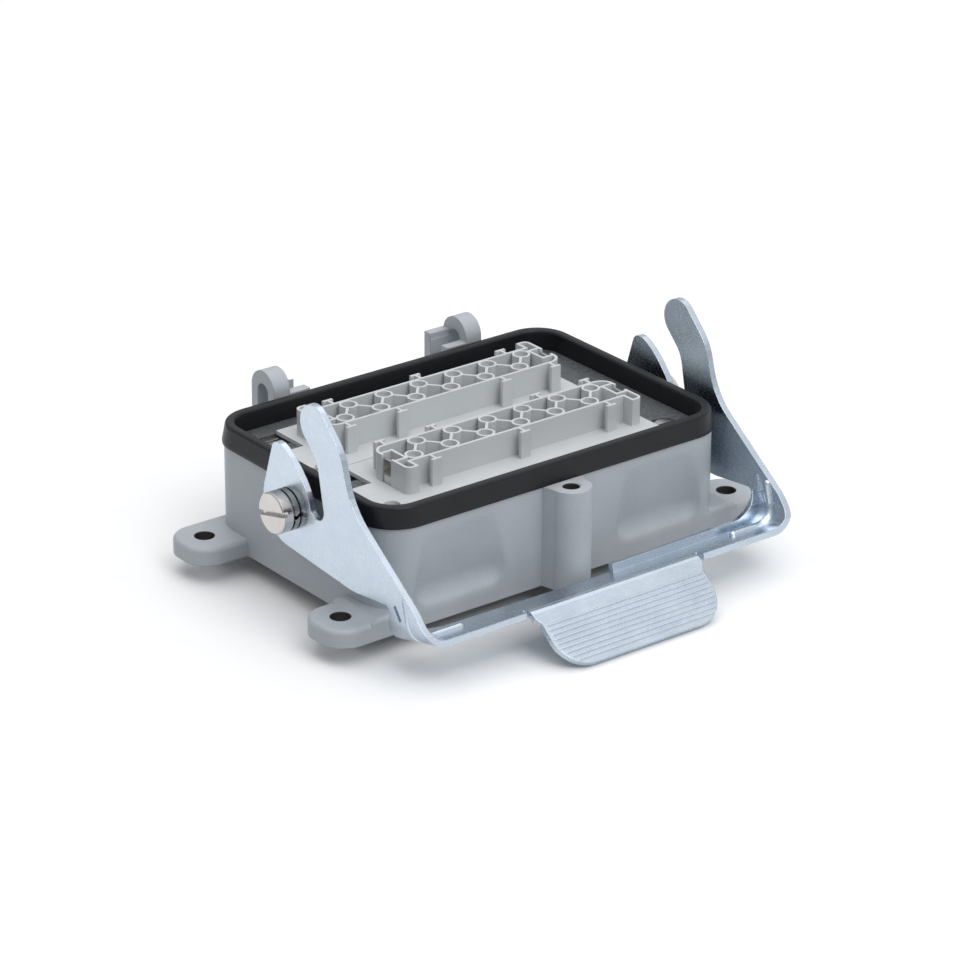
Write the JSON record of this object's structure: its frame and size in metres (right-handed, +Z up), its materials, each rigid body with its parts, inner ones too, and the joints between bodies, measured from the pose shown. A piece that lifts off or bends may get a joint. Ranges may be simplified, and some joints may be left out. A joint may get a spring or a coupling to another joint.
{
  "type": "panel-mount rectangular connector socket",
  "caption": "Panel-mount rectangular connector socket: cast housing with bolt lugs and hinge ears, rim gasket, contact inserts and a folded locking lever with a ribbed tab.",
  "frame": {"origin": "centre of the four panel mounting holes, on the panel face (underside of the housing)", "axes": "+X along the long side to the right as seen from the lever side, +Y to the back towards the hinge ears, +Z up out of the panel towards the mating face"},
  "size_m": [0.165, 0.1449, 0.0709],
  "materials": {
    "casting": "fine grey powder coat on die-cast aluminium",
    "rubber": "satin black moulded rubber",
    "moulding": "light grey glass-filled moulding",
    "zinc_steel": "bright bluish zinc plate",
    "nickel_steel": "nickel plate",
    "contact_metal": "silver-plated turned contact",
    "brass": "turned, plain"
  },
  "bodies": {
    "base": {"housing": "casting", "lug_front_left": "casting", "lug_front_right": "casting", "lug_back_left": "casting", "lug_back_right": "casting", "front_boss": "casting", "hinge_ear_left": "casting", "hinge_ear_right": "casting", "rim_gasket": "rubber", "panel_gasket": "rubber", "pivot_screw_left": "nickel_steel", "pivot_screw_right": "nickel_steel", "lock_washer_left": "zinc_steel", "lock_washer_right": "zinc_steel", "pivot_bush_left": "brass", "pivot_bush_right": "brass", "insert_body_front": "moulding", "insert_body_rear": "moulding", "contact_sockets_front": "contact_metal", "contact_sockets_rear": "contact_metal", "earth_bracket_front_left": "nickel_steel", "earth_bracket_front_right": "nickel_steel", "earth_bracket_rear_left": "nickel_steel", "earth_bracket_rear_right": "nickel_steel", "fixing_screws_front": "nickel_steel", "fixing_screws_rear": "nickel_steel"},
    "lever": {"locking_lever": "zinc_steel"}
  },
  "joints": [
    {"name": "lever_hinge", "type": "hinge", "parent": "base", "child": "lever", "pos_m": [0, -0.0038, 0.0276], "axis": [-1, 0, 0], "range_deg": [0, 84]}
  ]
}
